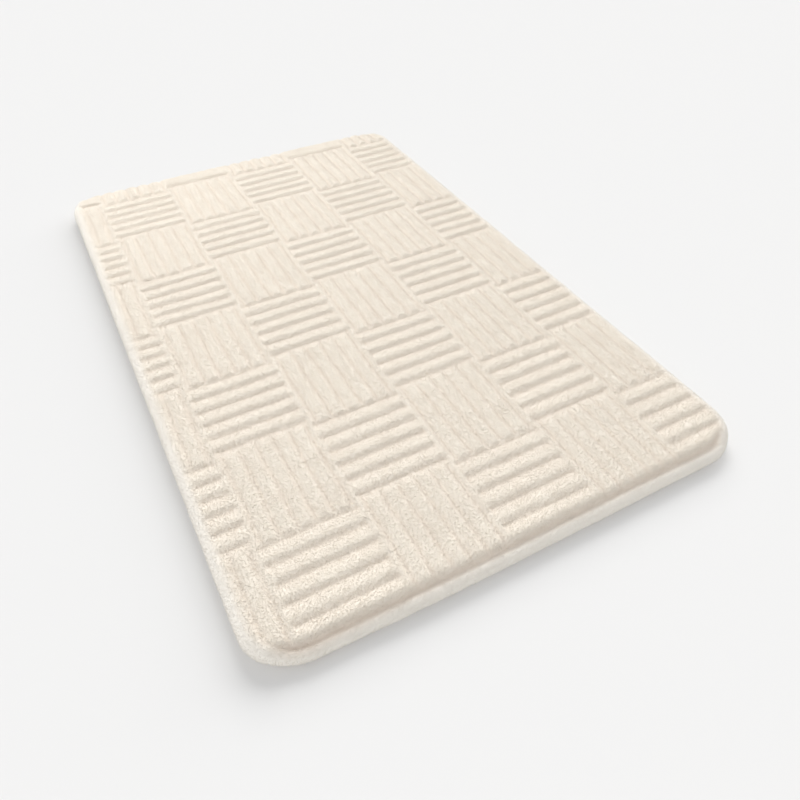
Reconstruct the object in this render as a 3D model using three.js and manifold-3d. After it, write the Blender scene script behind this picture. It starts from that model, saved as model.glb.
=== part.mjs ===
// Basket-weave bath mat. A plush face cloth, embossed in blocks of ribs, wraps a slab of memory
// foam and turns under at the edge. A grip backing covers the turned hem and the foam, and one
// seam holds it all the way round.
// Millimetres, +Z up. Origin at the centre of the underside, +X across the mat, +Y along it.

import * as THREE from "three";
import { mergeVertices } from "three/addons/utils/BufferGeometryUtils.js";
import Module from "manifold-3d";

const wasm = await Module();
wasm.setup();

// Overall sizes
const WIDTH = 500; // along X
const LENGTH = 800; // along Y
const THICKNESS = 22; // floor to rib crowns
const CORNER_RADIUS = 46; // of the outline, seen from above
const EDGE_RADIUS = 8; // of the rolled side

// Thickness of each layer
const FACE_CLOTH = 2.4; // ground cloth and pile together
const FILM = 0.3;
const SCRIM = 0.4;
const BACKING = 1.5; // cloth and printed grip dots together
const LAYER_GAP = 0.3; // between neighbouring layers

// Basket weave: blocks of ribs that run across the mat and along it by turns
const RIBS_IN_BLOCK = 5;
const RIB_RISE = 5.5; // groove floor to rib crown
const RIB_SLOPE = 5; // width of a rib's rounded flank
const GROOVE = 2; // flat floor between two ribs
const BLOCK_X = 95.8;
const BLOCK_Y = 107.2;
const CROSS_PITCH = 19.4; // between ribs that run across the mat
const LONG_PITCH = 16.8; // between ribs that run along it
const CROSS_END_GAP = 6; // end of a cross rib to the flank of a long one
const LONG_END_GAP = 2.4; // end of a long rib to the flank of a cross one
const LEFT_CUT_BLOCK = 38.7; // the part of a block left by the cut along the -X edge
const FAR_CUT_BLOCK = 42.9; // the same along the +Y edge
const SMALLEST_CUT_BLOCK = 15; // a block cut shorter than this stays plain
const RIB_MARGIN = 4; // outline to where the ribs run out
const RIB_ROUNDING = 8; // how ribs round down at the outline

// Underside
const BACKING_INSET = 9; // outline to the backing's edge
const HEM_OVERLAP = 15; // hem that lies over the backing's edge
const OVERLOCK_WIDTH = 2;
const SEAM_INSET = 5; // backing's edge to the seam line
const THREAD = 0.6;
const LABEL_WIDTH = 28;
const LABEL_LENGTH = 42;
const LABEL_THICKNESS = 0.4;
const LABEL_X = 150; // middle of the label, which hangs from the seam on the +Y side
const FLOOR_GAP = 0.2; // floor to the thread and the label

// How finely round shapes are cut
const ARC_STEPS = 3;
const EDGE_STEPS = 3;
const RIB_STEPS = 1;
const WELD = 1e-3;
const CUT_PAST = 1; // how far a cutting solid runs past the face it opens

// Heights that follow from the layers
const BODY_TOP = THICKNESS - RIB_RISE;
const HEM_BOTTOM = BACKING + LAYER_GAP;
const HEM_TOP = HEM_BOTTOM + FACE_CLOTH;
const CAVITY_TOP = BODY_TOP - FACE_CLOTH;
const FILM_BOTTOM = CAVITY_TOP - LAYER_GAP - FILM;
const SCRIM_TOP = HEM_BOTTOM + SCRIM;

// Insets from the outline that follow from the layers
const FOAM_INSET = FACE_CLOTH + LAYER_GAP;
const HEM_INSET = BACKING_INSET + HEM_OVERLAP;
const OVERLOCK_INSET = HEM_INSET + LAYER_GAP;
const PLUG_INSET = OVERLOCK_INSET + OVERLOCK_WIDTH + LAYER_GAP;
const SEAM_LINE = BACKING_INSET + SEAM_INSET;

const CLOTH_FINISH = { color: 0xeee5d5, roughness: 0.95, metalness: 0 };
const FILM_FINISH = { color: 0xf2eee6, roughness: 0.5, metalness: 0 };
const FOAM_FINISH = { color: 0xf0e2b6, roughness: 0.9, metalness: 0 };
const SCRIM_FINISH = { color: 0xf4f3ef, roughness: 0.85, metalness: 0 };
const BACKING_FINISH = { color: 0xe2dccf, roughness: 0.8, metalness: 0 };
const THREAD_FINISH = { color: 0xeee6d6, roughness: 0.6, metalness: 0 };
const LABEL_FINISH = { color: 0xf7f6f2, roughness: 0.45, metalness: 0 };

/** A three.js geometry as a closed solid that can be joined and cut. */
function solidFrom(geometry) {
  geometry.deleteAttribute("normal");
  geometry.deleteAttribute("uv");
  const merged = mergeVertices(geometry, WELD);
  return new wasm.Manifold(
    new wasm.Mesh({
      numProp: 3,
      vertProperties: merged.attributes.position.array,
      triVerts: new Uint32Array(merged.index.array),
    }),
  );
}

/** A named mesh of one solid. */
function piece(name, solid, finish) {
  const { vertProperties, triVerts } = solid.getMesh();
  const geometry = new THREE.BufferGeometry()
    .setAttribute("position", new THREE.BufferAttribute(vertProperties, 3))
    .setIndex(new THREE.BufferAttribute(triVerts, 1))
    .toNonIndexed();
  geometry.computeVertexNormals();
  const mesh = new THREE.Mesh(geometry, new THREE.MeshStandardMaterial(finish));
  mesh.name = name;
  return mesh;
}

/** The mat's outline, drawn in by an inset. */
function outline(inset) {
  const x = WIDTH / 2 - inset;
  const y = LENGTH / 2 - inset;
  const radius = Math.max(CORNER_RADIUS - inset, 1);
  const shape = new THREE.Shape();
  shape.absarc(x - radius, y - radius, radius, 0, Math.PI / 2);
  shape.absarc(radius - x, y - radius, radius, Math.PI / 2, Math.PI);
  shape.absarc(radius - x, radius - y, radius, Math.PI, 1.5 * Math.PI);
  shape.absarc(x - radius, radius - y, radius, 1.5 * Math.PI, 2 * Math.PI);
  return shape;
}

/** A flat slab of the mat's outline, with square edges. */
function sheet(inset, bottom, top) {
  const geometry = new THREE.ExtrudeGeometry(outline(inset), {
    depth: top - bottom,
    bevelEnabled: false,
    curveSegments: ARC_STEPS,
  });
  return solidFrom(geometry.translate(0, 0, bottom));
}

/** A slab of the mat's outline whose side is rolled, as far as its height allows. */
function rolledSlab(inset, bottom, top, radius) {
  const roll = Math.min(radius, 0.48 * (top - bottom));
  const geometry = new THREE.ExtrudeGeometry(outline(inset + roll), {
    depth: top - bottom - 2 * roll,
    bevelThickness: roll,
    bevelSize: roll,
    bevelSegments: EDGE_STEPS,
    curveSegments: ARC_STEPS,
  });
  return solidFrom(geometry.translate(0, 0, bottom + roll));
}

/** A flat band that follows the outline, between two insets. */
function band(outerInset, innerInset, bottom, top) {
  const hole = sheet(innerInset, bottom - CUT_PAST, top + CUT_PAST);
  return sheet(outerInset, bottom, top).subtract(hole);
}

/** One rib, centred on x and y: a bar with rounded flanks and clipped corners. */
function rib(x, y, length, pitch, alongY) {
  const halfLength = length / 2 - RIB_SLOPE;
  const halfWidth = (pitch - GROOVE) / 2 - RIB_SLOPE;
  const clip = 0.7 * halfWidth;
  const crown = new THREE.Shape();
  crown.moveTo(halfLength, clip - halfWidth);
  crown.lineTo(halfLength, halfWidth - clip);
  crown.lineTo(halfLength - clip, halfWidth);
  crown.lineTo(clip - halfLength, halfWidth);
  crown.lineTo(-halfLength, halfWidth - clip);
  crown.lineTo(-halfLength, clip - halfWidth);
  crown.lineTo(clip - halfLength, -halfWidth);
  crown.lineTo(halfLength - clip, -halfWidth);
  crown.closePath();
  const root = FACE_CLOTH / 2;
  const geometry = new THREE.ExtrudeGeometry(crown, {
    depth: root,
    bevelThickness: RIB_RISE,
    bevelSize: RIB_SLOPE,
    bevelSegments: RIB_STEPS,
  });
  if (alongY) geometry.rotateZ(Math.PI / 2);
  return solidFrom(geometry.translate(x, y, BODY_TOP - root));
}

/** The ribs of one block, given by the block's middle and the way they run. */
function blockRibs(x, y, alongY) {
  const pitch = alongY ? LONG_PITCH : CROSS_PITCH;
  const length = alongY
    ? 2 * (BLOCK_Y - LONG_END_GAP) - RIBS_IN_BLOCK * CROSS_PITCH
    : 2 * (BLOCK_X - CROSS_END_GAP) - RIBS_IN_BLOCK * LONG_PITCH;
  const ribs = [];
  for (let k = 0; k < RIBS_IN_BLOCK; k++) {
    const shift = (k - (RIBS_IN_BLOCK - 1) / 2) * pitch;
    const ribX = alongY ? x + shift : x;
    const ribY = alongY ? y : y + shift;
    const room = alongY ? WIDTH / 2 - Math.abs(ribX) : LENGTH / 2 - Math.abs(ribY);
    if (room > RIB_MARGIN) ribs.push(rib(ribX, ribY, length, pitch, alongY));
  }
  return ribs;
}

/** Every rib of the weave, rounded down where it meets the mat's outline. */
function weave() {
  const ribs = [];
  const columns = Math.ceil((WIDTH - LEFT_CUT_BLOCK - SMALLEST_CUT_BLOCK) / BLOCK_X);
  const rows = Math.ceil((LENGTH - FAR_CUT_BLOCK - SMALLEST_CUT_BLOCK) / BLOCK_Y);
  for (let column = -1; column < columns; column++) {
    for (let row = -1; row < rows; row++) {
      const x = LEFT_CUT_BLOCK - WIDTH / 2 + (column + 0.5) * BLOCK_X;
      const y = LENGTH / 2 - FAR_CUT_BLOCK - (row + 0.5) * BLOCK_Y;
      ribs.push(...blockRibs(x, y, (column + row) % 2 !== 0));
    }
  }
  const limit = rolledSlab(RIB_MARGIN, HEM_TOP, THICKNESS, RIB_ROUNDING);
  return ribs.reduce((joined, next) => joined.add(next)).intersect(limit);
}

/** Face cloth: ribbed top, rolled side and hem turned under, open at the bottom. */
function faceCover() {
  const hollow = rolledSlab(FACE_CLOTH, HEM_TOP, CAVITY_TOP, EDGE_RADIUS - FACE_CLOTH);
  const backingSeat = sheet(BACKING_INSET - LAYER_GAP, -CUT_PAST, HEM_BOTTOM);
  const mouth = sheet(HEM_INSET, 0, HEM_TOP + CUT_PAST);
  return rolledSlab(0, 0, BODY_TOP, EDGE_RADIUS)
    .add(weave())
    .subtract(hollow)
    .subtract(backingSeat)
    .subtract(mouth);
}

/** Hot-melt film between the foam and the ribbed top. */
function bondFilm() {
  return sheet(FOAM_INSET + EDGE_RADIUS, FILM_BOTTOM, FILM_BOTTOM + FILM);
}

/** Memory foam: a slab that fills the cover, with a plug down through the hem's mouth. */
function memoryFoam() {
  const bottom = HEM_TOP + LAYER_GAP;
  const top = FILM_BOTTOM - LAYER_GAP;
  const slab = rolledSlab(FOAM_INSET, bottom, top, EDGE_RADIUS - FOAM_INSET);
  const middle = (bottom + top) / 2;
  return slab.add(sheet(PLUG_INSET, SCRIM_TOP + LAYER_GAP, middle));
}

/** Non-woven scrim that lines the foam's underside inside the hem. */
function foamScrim() {
  return sheet(PLUG_INSET, HEM_BOTTOM, SCRIM_TOP);
}

/** Overlock thread wound along the hem's raw edge. */
function hemOverlock() {
  return band(OVERLOCK_INSET, OVERLOCK_INSET + OVERLOCK_WIDTH, HEM_BOTTOM, HEM_TOP);
}

/** The label's box grown by a gap, as a solid that hangs from the seam line. */
function labelBlock(gap, bottom, top) {
  const geometry = new THREE.BoxGeometry(
    LABEL_WIDTH + 2 * gap,
    LABEL_LENGTH + 2 * gap,
    top - bottom,
  );
  const y = LENGTH / 2 - SEAM_LINE - THREAD / 2 - LAYER_GAP - LABEL_LENGTH / 2;
  return solidFrom(geometry.translate(LABEL_X, y, (top + bottom) / 2));
}

/** Backing cloth with its printed grip, a channel for the seam and a place for the label. */
function gripBacking() {
  const reach = THREAD / 2 + LAYER_GAP;
  const channelTop = FLOOR_GAP + THREAD + LAYER_GAP;
  const pocketTop = FLOOR_GAP + LABEL_THICKNESS + LAYER_GAP;
  return sheet(BACKING_INSET, 0, BACKING)
    .subtract(band(SEAM_LINE - reach, SEAM_LINE + reach, -CUT_PAST, channelTop))
    .subtract(labelBlock(LAYER_GAP, -CUT_PAST, pocketTop));
}

/** The lockstitch line that holds backing, hem and label together. */
function perimeterSeam() {
  return band(SEAM_LINE - THREAD / 2, SEAM_LINE + THREAD / 2, FLOOR_GAP, FLOOR_GAP + THREAD);
}

/** Blank woven care label, folded flat against the backing. */
function careLabel() {
  return labelBlock(0, FLOOR_GAP, FLOOR_GAP + LABEL_THICKNESS);
}

const bathMat = new THREE.Group();
bathMat.add(
  piece("face_cover", faceCover(), CLOTH_FINISH),
  piece("bond_film", bondFilm(), FILM_FINISH),
  piece("memory_foam", memoryFoam(), FOAM_FINISH),
  piece("foam_scrim", foamScrim(), SCRIM_FINISH),
  piece("hem_overlock", hemOverlock(), THREAD_FINISH),
  piece("grip_backing", gripBacking(), BACKING_FINISH),
  piece("perimeter_seam", perimeterSeam(), THREAD_FINISH),
  piece("care_label", careLabel(), LABEL_FINISH),
);

export default bathMat;
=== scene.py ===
"""Basket-weave bath mat: its visible model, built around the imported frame.

A plush face cloth, embossed in blocks of ribs, wraps a slab of memory foam and turns under at the
edge. A knitted backing with moulded grip dots covers the hem, and one lockstitch seam holds it all.
Metres, +Z up. Origin at the centre of the underside, +X across the mat, +Y along it.
"""

import logging
import math
from dataclasses import dataclass
from enum import Enum
from typing import Any, Dict, List, Optional, Sequence, Tuple

import bpy
import numpy as np
from mathutils import Euler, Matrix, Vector


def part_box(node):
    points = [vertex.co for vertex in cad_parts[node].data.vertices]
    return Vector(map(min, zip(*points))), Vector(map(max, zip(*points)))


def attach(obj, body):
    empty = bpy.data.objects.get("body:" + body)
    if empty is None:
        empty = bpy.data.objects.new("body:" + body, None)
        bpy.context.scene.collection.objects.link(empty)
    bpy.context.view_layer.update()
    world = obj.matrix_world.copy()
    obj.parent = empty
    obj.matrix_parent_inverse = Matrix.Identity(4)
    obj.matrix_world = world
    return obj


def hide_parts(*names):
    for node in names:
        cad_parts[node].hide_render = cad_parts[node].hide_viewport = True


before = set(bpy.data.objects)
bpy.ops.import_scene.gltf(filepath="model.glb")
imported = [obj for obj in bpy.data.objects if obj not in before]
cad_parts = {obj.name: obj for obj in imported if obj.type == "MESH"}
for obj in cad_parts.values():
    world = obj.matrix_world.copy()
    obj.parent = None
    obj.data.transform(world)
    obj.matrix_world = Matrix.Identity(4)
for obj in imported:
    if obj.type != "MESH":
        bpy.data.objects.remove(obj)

LOG = logging.getLogger("bath_mat")
MM = 0.001
ROOT_BODY = "root"
DRAW = (2.0 * MM, 4.6 * MM)  # how far the -X -Y corner is drawn in
DRAW_REACH = (115.0 * MM, 20.0 * MM)  # how far from it that reaches, along X and along Y
PATH_STEP = 6.0 * MM  # between the points of a seam's path
LAMP_DISTANCE = 2.0  # from the mat to a distant lamp, which lights alike from any distance
SHADER_TREE = "ShaderNodeTree"
GEOMETRY_TREE = "GeometryNodeTree"
SOCKET_KINDS = {
    "Geometry": "NodeSocketGeometry",
    "Material": "NodeSocketMaterial",
    "Seed": "NodeSocketInt",
    "Vector": "NodeSocketVector",
    "Light": "NodeSocketColor",
    "Dark": "NodeSocketColor",
    "Color": "NodeSocketColor",
}  # every other socket is a plain number

Socket = Any
Colour = Tuple[float, float, float]
Faces = List[Tuple[int, ...]]


class Slot(str, Enum):
    """The record's material slots."""

    FACE = "face_fleece"
    FILM = "bond_film"
    FOAM = "foam"
    SCRIM = "scrim"
    BACKING = "backing_cloth"
    DOTS = "grip_dots"
    THREAD = "thread"
    LABEL = "label_satin"


class RibRun(Enum):
    """The way the ribs of a block run."""

    ACROSS = "across"
    ALONG = "along"


# ---------------------------------------------------------------- shapes in plain arithmetic


def smooth_step(low: float, high: float, value: np.ndarray) -> np.ndarray:
    """A soft step from 0 at low to 1 at high."""
    share = np.clip((value - low) / (high - low), 0.0, 1.0)
    return share * share * (3.0 - 2.0 * share)


@dataclass(frozen=True)
class SoftNoise:
    """Smooth value noise over the plane, from a seeded lattice.

    Attributes:
        seed: The lattice's seed.
        lattice: Points along each side of the lattice, which repeats.
    """

    seed: int
    lattice: int = 256

    def at(self, x: np.ndarray, y: np.ndarray, size: float) -> np.ndarray:
        """Noise from -1 to 1.

        Args:
            x: Places along X, in metres.
            y: Places along Y, in metres.
            size: The width of one lump, in metres.

        Returns:
            One value for each place.
        """
        table = np.random.default_rng(self.seed).uniform(-1.0, 1.0, (self.lattice, self.lattice))
        u, v = x / size, y / size
        left, low = np.floor(u).astype(int), np.floor(v).astype(int)
        s, t = smooth_step(0.0, 1.0, u - left), smooth_step(0.0, 1.0, v - low)
        i, j = left % self.lattice, low % self.lattice
        i_next, j_next = (i + 1) % self.lattice, (j + 1) % self.lattice
        near = table[i, j] * (1.0 - s) + table[i_next, j] * s
        far = table[i, j_next] * (1.0 - s) + table[i_next, j_next] * s
        return near * (1.0 - t) + far * t


@dataclass(frozen=True)
class Grooves:
    """The grooves of the blocks whose ribs run one way.

    Attributes:
        pitch: From one groove to the next.
        end_gap: End of a rib to the flank of the next block's first rib.
        depth: How deep a groove is, as a share of the rise.
        width: Half its width, half way down.
        steepness: How steep its flanks are.
        lean: How much steeper it is on its + side, where the nap leans over it.
        shift: How far it sits towards its - side.
        tip_inset: How much shorter than a rib it is at each end.
        tip_squeeze: How much shorter than wide its rounded ends are.
        reach: How far its softened rim reaches, in half widths.
        fade: The part of that over which it fades out.
    """

    pitch: float
    end_gap: float
    depth: float
    width: float
    steepness: float
    lean: float = 0.0
    shift: float = 0.0
    tip_inset: float = 0.0
    tip_squeeze: float = 1.0
    reach: float = 2.6
    fade: float = 0.4

    def pressed(
        self, along: np.ndarray, across: np.ndarray, ribs: int, rib_length: float
    ) -> np.ndarray:
        """How deep one block's grooves are pressed in.

        Args:
            along: Distance from the block's middle in the ribs' direction.
            across: Distance from it at a right angle.
            ribs: How many ribs the block has.
            rib_length: How long they are.

        Returns:
            0 on a rib's crown to the groove's full depth, as a share of the rise.
        """
        across = across + self.shift
        nearest = np.round(across / self.pitch + self.lean / 2.0 - 0.5) + 0.5
        aside = across - np.clip(nearest, -ribs / 2.0, ribs / 2.0) * self.pitch
        side_width = 1.0 - self.lean * np.tanh(2.0 * aside / self.width)
        past = np.maximum(np.abs(along) - (rib_length / 2.0 - self.tip_inset), 0.0)
        away = np.hypot(aside / side_width, past * self.tip_squeeze) / self.width
        profile = 1.0 / (1.0 + away ** (self.steepness / side_width))
        faded = np.clip(1.0 - away / self.reach, 0.0, 1.0)
        return self.depth * profile * smooth_step(0.0, self.fade, faded)


CROSS_GROOVES = Grooves(
    19.4 * MM, 6.0 * MM, 0.46, 3.9 * MM, 3.3,
    lean=0.35, shift=2.6 * MM, tip_inset=3.9 * MM, tip_squeeze=1.4,
)
LONG_GROOVES = Grooves(16.8 * MM, 2.4 * MM, 0.4, 2.5 * MM, 2.6)


@dataclass(frozen=True)
class BasketWeave:
    """The embossed pattern: blocks of ribs that run across the mat and along it by turns.

    Attributes:
        half_x: Half the mat's width.
        half_y: Half its length.
        rise: Groove floor to rib crown.
        ribs_in_block: Ribs side by side in one block.
        block_x: Width of a block.
        block_y: Length of a block.
        cross: The grooves between ribs that run across.
        long: The grooves between ribs that run along.
        left_cut_block: The part of a block left by the cut along the -X edge.
        far_cut_block: The same along the +Y edge.
        smallest_cut_block: A block cut shorter than this stays plain.
        block_margin: How far a block's grooves reach past its ribs' ends.
        far_plain: Cross grooves nearer to the +Y edge than this are rubbed flat.
        far_soft: How gradually they end there.
        wander: How far grooves stray from a straight line.
        wander_size: How long one bend of that is.
        wander_apart: How far apart the noise for X and the noise for Y are read.
        seed: For the wander.
    """

    half_x: float
    half_y: float
    rise: float = 5.5 * MM
    ribs_in_block: int = 5
    block_x: float = 95.8 * MM
    block_y: float = 107.2 * MM
    cross: Grooves = CROSS_GROOVES
    long: Grooves = LONG_GROOVES
    left_cut_block: float = 38.7 * MM
    far_cut_block: float = 42.9 * MM
    smallest_cut_block: float = 15.0 * MM
    block_margin: float = 11.7 * MM
    far_plain: float = 28.0 * MM
    far_soft: float = 6.0 * MM
    wander: float = 0.45 * MM
    wander_size: float = 34.0 * MM
    wander_apart: float = 3.7
    seed: int = 11

    def blocks(self) -> List[Tuple[float, float, RibRun]]:
        """The middle of each block and the way its ribs run.

        Returns:
            X, Y and the run of each block that reaches onto the mat.
        """
        room_x = 2.0 * self.half_x - self.left_cut_block - self.smallest_cut_block
        room_y = 2.0 * self.half_y - self.far_cut_block - self.smallest_cut_block
        found = []
        for column in range(-1, math.ceil(room_x / self.block_x)):
            for row in range(-1, math.ceil(room_y / self.block_y)):
                x = self.left_cut_block - self.half_x + (column + 0.5) * self.block_x
                y = self.half_y - self.far_cut_block - (row + 0.5) * self.block_y
                found.append((x, y, RibRun.ALONG if (column + row) % 2 else RibRun.ACROSS))
        return found

    def rib_length(self, run: RibRun) -> float:
        """How long a rib is, tip to tip.

        Args:
            run: The way it runs.

        Returns:
            Its length.
        """
        if run is RibRun.ALONG:
            return 2.0 * (self.block_y - self.long.end_gap) - self.ribs_in_block * self.cross.pitch
        return 2.0 * (self.block_x - self.cross.end_gap) - self.ribs_in_block * self.long.pitch

    def relief(self, x: np.ndarray, y: np.ndarray) -> np.ndarray:
        """The whole pattern's relief.

        Args:
            x: Places across the mat.
            y: Places along it.

        Returns:
            0 in a groove to 1 on a crown, for each place.
        """

        def strayed(place: np.ndarray, apart: float) -> np.ndarray:
            """Moves places a little off their straight lines.

            Args:
                place: Their X or Y.
                apart: How far apart from the other one's noise this is read.

            Returns:
                The moved X or Y.
            """
            slow = SoftNoise(self.seed).at(x + apart, y, self.wander_size)
            quick = SoftNoise(self.seed + 1).at(x + apart, y, self.wander_size / 3.0)
            return place + self.wander * slow + 0.5 * self.wander * quick

        moved_x, moved_y = strayed(x, 0.0), strayed(y, self.wander_apart)
        plain_from = self.half_y - self.far_plain
        kept = smooth_step(plain_from, plain_from - self.far_soft, y)
        reach_x = self.rib_length(RibRun.ACROSS) / 2.0 + self.block_margin
        reach_y = self.rib_length(RibRun.ALONG) / 2.0 + self.block_margin
        found = np.zeros_like(x)
        for middle_x, middle_y, run in self.blocks():
            near = (np.abs(moved_x - middle_x) < reach_x) & (np.abs(moved_y - middle_y) < reach_y)
            if not near.any():
                continue
            from_x, from_y = moved_x[near] - middle_x, moved_y[near] - middle_y
            size = self.ribs_in_block, self.rib_length(run)
            if run is RibRun.ALONG:
                pressed = self.long.pressed(from_y, from_x, *size)
            else:
                pressed = self.cross.pressed(from_x, from_y, *size) * kept[near]
            found[near] = np.maximum(found[near], pressed)
        return 1.0 - found


# ---------------------------------------------------------------- meshes that follow the outline


class PlanRings:
    """Rings of points that follow the mat's rounded outline, and the grid inside them.

    Every ring has one point for each line of the grid and a fan round each corner, so that
    neighbouring rings join point to point.
    """

    def __init__(
        self, half_x: float, half_y: float, corner: float, step: float, along: float
    ) -> None:
        """Lays out the grid lines and the rings' anchors.

        Args:
            half_x: Half the outline's width.
            half_y: Half its length.
            corner: Its corner radius.
            step: About how far apart the points are.
            along: How much wider than that they are set along the mat.
        """
        self.corner = corner
        self.drawn_corner = np.array([-half_x, -half_y])
        self.straight = np.array([half_x - corner, half_y - corner])
        inner_x, inner_y = half_x - corner, half_y - corner
        self.xs = np.linspace(-inner_x, inner_x, round(2.0 * inner_x / step) + 1)
        self.ys = np.linspace(-inner_y, inner_y, round(2.0 * inner_y / (step * along)) + 1)
        fan = max(4, round(math.pi / 2.0 * corner / step))
        last_x, last_y = len(self.xs) - 1, len(self.ys) - 1
        sides = [
            ([(i, 0) for i in range(last_x + 1)], -90.0),
            ([(last_x, j) for j in range(last_y + 1)], 0.0),
            ([(i, last_y) for i in range(last_x, -1, -1)], 90.0),
            ([(0, j) for j in range(last_y, -1, -1)], 180.0),
        ]
        spots: List[Tuple[int, int, float]] = []
        for points, heading in sides:
            spots += [(i, j, heading) for i, j in points]
            spots += [(*points[-1], heading + 90.0 * turn / fan) for turn in range(1, fan)]
        self.grid_index = [(i, j) for i, j, _ in spots]
        self.anchors = np.array([(self.xs[i], self.ys[j]) for i, j in self.grid_index])
        headings = [math.radians(heading) for _, _, heading in spots]
        self.outward = np.array([(math.cos(turn), math.sin(turn)) for turn in headings])

    def at(self, inset: float) -> np.ndarray:
        """The ring at one inset.

        Args:
            inset: Distance in from the outline.

        Returns:
            Its points' X and Y, with one corner drawn in a little, as soft goods lie.
        """
        plane = self.anchors + self.outward * (self.corner - inset)
        away = (plane - self.drawn_corner) / np.array(DRAW_REACH)
        return plane + np.exp(-np.sum(away**2, axis=1))[:, None] * np.array(DRAW)

    def inset_of(self, points: np.ndarray) -> np.ndarray:
        """How far in from the outline some points lie.

        Args:
            points: Their X and Y.

        Returns:
            A distance for each point, 0 on the outline.
        """
        past = np.abs(points) - self.straight
        beyond = np.hypot(*np.maximum(past, 0.0).T) + np.minimum(past.max(axis=1), 0.0)
        return self.corner - beyond


def quads(*corners: np.ndarray) -> Faces:
    """Four-sided faces, from one array of point numbers for each corner."""
    return [tuple(face) for face in np.stack([each.ravel() for each in corners], 1).tolist()]


class ShellMesh:
    """A closed mesh, built ring by ring from its top grid to its bottom one."""

    def __init__(self, rings: PlanRings) -> None:
        """Starts an empty mesh.

        Args:
            rings: The rings that it follows.
        """
        self.rings = rings
        self.points: List[np.ndarray] = []
        self.marks: Dict[str, List[np.ndarray]] = {"depth": [], "pile": []}
        self.faces: Faces = []
        self.count = 0

    def _store(self, points: np.ndarray, depth: np.ndarray, piled: bool) -> np.ndarray:
        """Keeps some points and their marks.

        Args:
            points: The points.
            depth: How deep each one lies in a groove, from 0 to 1.
            piled: Whether pile grows there.

        Returns:
            Their numbers.
        """
        first = self.count
        self.points.append(points)
        self.marks["depth"].append(depth)
        self.marks["pile"].append(np.full(len(points), float(piled)))
        self.count += len(points)
        return np.arange(first, self.count)

    def grid(
        self, z: np.ndarray, depth: np.ndarray, upwards: bool, piled: bool = False
    ) -> np.ndarray:
        """Adds the grid inside the rings.

        Args:
            z: Heights, one row for each Y and one column for each X.
            depth: How deep each point lies in a groove, from 0 to 1.
            upwards: Whether its faces look up.
            piled: Whether pile grows there.

        Returns:
            The numbers of the points that the first ring joins.
        """
        xs, ys = np.meshgrid(self.rings.xs, self.rings.ys)
        points = np.stack([xs.ravel(), ys.ravel(), z.ravel()], 1)
        number = self._store(points, depth.ravel(), piled).reshape(z.shape)
        corners = number[:-1, :-1], number[:-1, 1:], number[1:, 1:], number[1:, :-1]
        self.faces += quads(*(corners if upwards else corners[::-1]))
        return np.array([number[j, i] for i, j in self.rings.grid_index])

    def ring(
        self, before: np.ndarray, points: np.ndarray, depth: np.ndarray, piled: bool = False
    ) -> np.ndarray:
        """Adds one ring and joins it to the one before.

        Args:
            before: The numbers of the ring before.
            points: The new ring's points.
            depth: How deep each one lies in a groove, from 0 to 1.
            piled: Whether pile grows there.

        Returns:
            The new ring's numbers.
        """
        new = self._store(points, depth, piled)
        self.bridge(before, new)
        return new

    def bridge(self, before: np.ndarray, after: np.ndarray) -> None:
        """Joins two rings with faces, leaving out an edge that has no length.

        Args:
            before: The numbers of the first ring.
            after: The numbers of the second.
        """
        for quad in quads(before, after, np.roll(after, -1), np.roll(before, -1)):
            face = tuple(dict.fromkeys(quad))
            if len(face) > 2:
                self.faces.append(face)

    def finish(self, name: str) -> bpy.types.Object:
        """Makes the object, with its marks as the attributes depth, pile and inset.

        Args:
            name: Its name.

        Returns:
            The object, linked to the scene.
        """
        points = np.concatenate(self.points)
        made = mesh_object(name, points, self.faces)
        for label, marks in {**self.marks, "inset": [self.rings.inset_of(points[:, :2])]}.items():
            attribute = made.data.attributes.new(label, "FLOAT", "POINT")
            attribute.data.foreach_set("value", np.concatenate(marks).astype(np.float32))
        return made


def new_object(name: str, data: Any) -> bpy.types.Object:
    """Makes an object.

    Args:
        name: Its name.
        data: What it shows, such as a mesh, a lamp or a camera.

    Returns:
        The object, linked to the scene.
    """
    made = bpy.data.objects.new(name, data)
    bpy.context.scene.collection.objects.link(made)
    return made


def mesh_object(
    name: str, points: np.ndarray, faces: Faces, edges: Sequence[Tuple[int, int]] = ()
) -> bpy.types.Object:
    """A mesh object, shaded smooth.

    Args:
        name: Its name.
        points: Its points, in metres.
        faces: Its faces, as point numbers.
        edges: Its bare edges.

    Returns:
        The object, linked to the scene.
    """
    mesh = bpy.data.meshes.new(name)
    mesh.from_pydata(points.tolist(), list(edges), list(faces))
    mesh.update()
    if faces:
        mesh.polygons.foreach_set("use_smooth", np.ones(len(faces), bool))
    return new_object(name, mesh)


def path_object(name: str, points: np.ndarray) -> bpy.types.Object:
    """A closed path of bare edges, for a Geometry Nodes tree to follow."""
    count = len(points)
    return mesh_object(name, points, [], [(k, (k + 1) % count) for k in range(count)])


# ---------------------------------------------------------------- node helpers


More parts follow.
